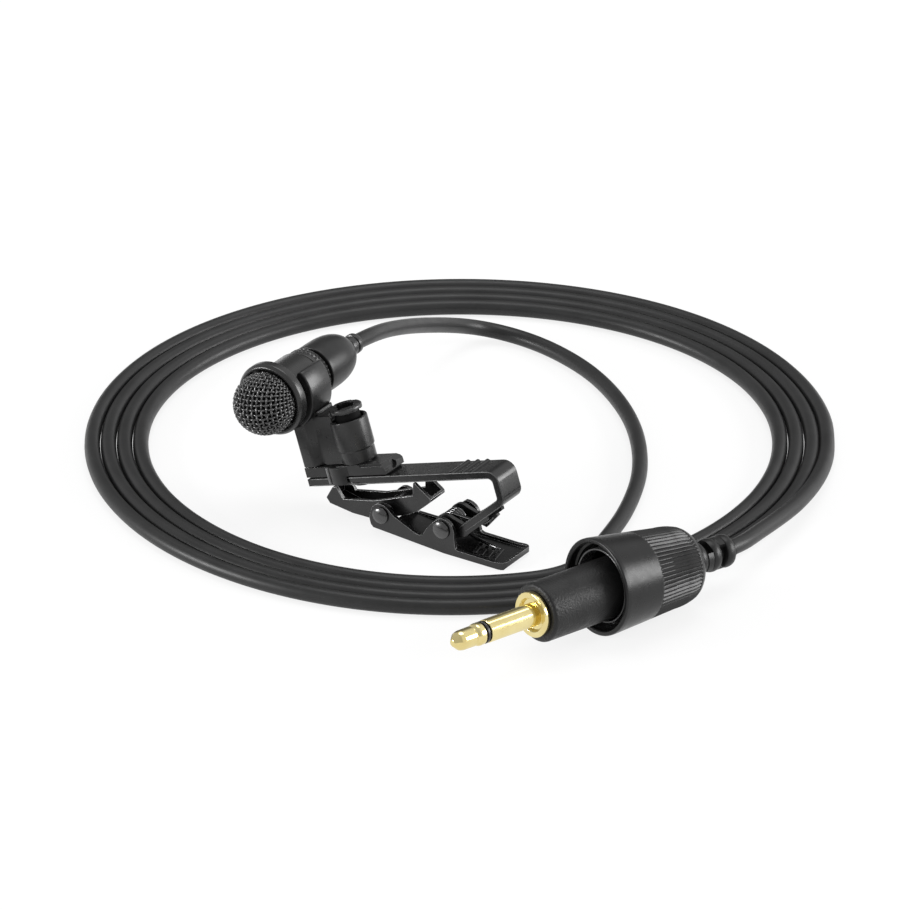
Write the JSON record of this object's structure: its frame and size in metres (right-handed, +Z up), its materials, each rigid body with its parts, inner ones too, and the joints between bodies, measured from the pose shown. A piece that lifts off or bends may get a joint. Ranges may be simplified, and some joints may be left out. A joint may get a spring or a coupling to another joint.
{
  "type": "lavalier microphone",
  "caption": "Clip-on ball-head lavalier microphone in a swivelling sprung tie clip, with its coiled cable and a screw-locking gold jack plug.",
  "frame": {"origin": "on the resting surface, below the middle of the microphone and its clip", "axes": "+X along the clip from its heel to the finger tray, +Y along the microphone from the ball head to the cable boot, +Z up"},
  "size_m": [0.116, 0.1216, 0.0236],
  "materials": {
    "black_plastic": "fine moulded matt black",
    "black_metal": "satin black coated steel",
    "grille_mesh": "black coated woven wire mesh",
    "foam": "open black foam",
    "black_rubber": "matt black flexible PVC and rubber",
    "steel": "bare spring steel and nickelled can",
    "gold": "gold plated"
  },
  "bodies": {
    "microphone": {"grille_dome": "grille_mesh", "pop_filter_liner": "foam", "mic_housing": "black_metal", "capsule": "steel", "capsule_seal": "black_rubber", "knurled_ring": "black_metal", "cable_boot": "black_plastic", "boot_ferrule": "black_rubber", "cord_lead": "black_rubber", "cord_coil": "black_rubber", "cord_tail": "black_rubber", "plug_tip": "gold", "tip_insulator": "black_plastic", "plug_sleeve": "gold", "plug_barrel": "black_plastic", "plug_strain_relief": "black_rubber"},
    "holder": {"mic_holder": "black_plastic"},
    "clip": {"swivel_base": "black_plastic", "base_rivet": "black_metal", "clip_strap": "black_metal"},
    "lever": {"clip_lever": "black_metal", "lever_pin": "black_metal", "jaw_pin": "black_metal", "torsion_spring": "steel"},
    "jaw": {"clip_jaw": "black_metal"},
    "collar": {"locking_collar": "black_metal"}
  },
  "joints": [
    {"name": "mic_turn", "type": "hinge", "parent": "microphone", "child": "holder", "pos_m": [-0.01722, -0.00326, 0.01791], "axis": [0, 1, 0], "range_deg": [-90, 90]},
    {"name": "clip_swivel", "type": "hinge", "parent": "holder", "child": "clip", "pos_m": [-0.0037, -0.00326, 0.00636], "axis": [-0.304, 0, 0.9527], "range_deg": [-15, 165]},
    {"name": "lever_squeeze", "type": "hinge", "parent": "clip", "child": "lever", "pos_m": [0.01233, -0.00326, 0.00388], "axis": [0, -1, 0], "range_deg": [0, 24], "stiffness_Nm_per_rad": 0.02, "springref_deg": -28.65, "deforming": ["torsion_spring"]},
    {"name": "jaw_rock", "type": "hinge", "parent": "lever", "child": "jaw", "pos_m": [0.00155, -0.00326, 0.00325], "axis": [0, -1, 0], "range_deg": [-10, 0]},
    {"name": "collar_spin", "type": "hinge", "parent": "microphone", "child": "collar", "pos_m": [0.04749, -0.00826, 0.00676], "axis": [0.3205, 0.9438, -0.0805], "continuous": true}
  ],
  "couplings": [
    {"joint": "jaw_rock", "follows": "lever_squeeze", "ratio": -0.4}
  ]
}
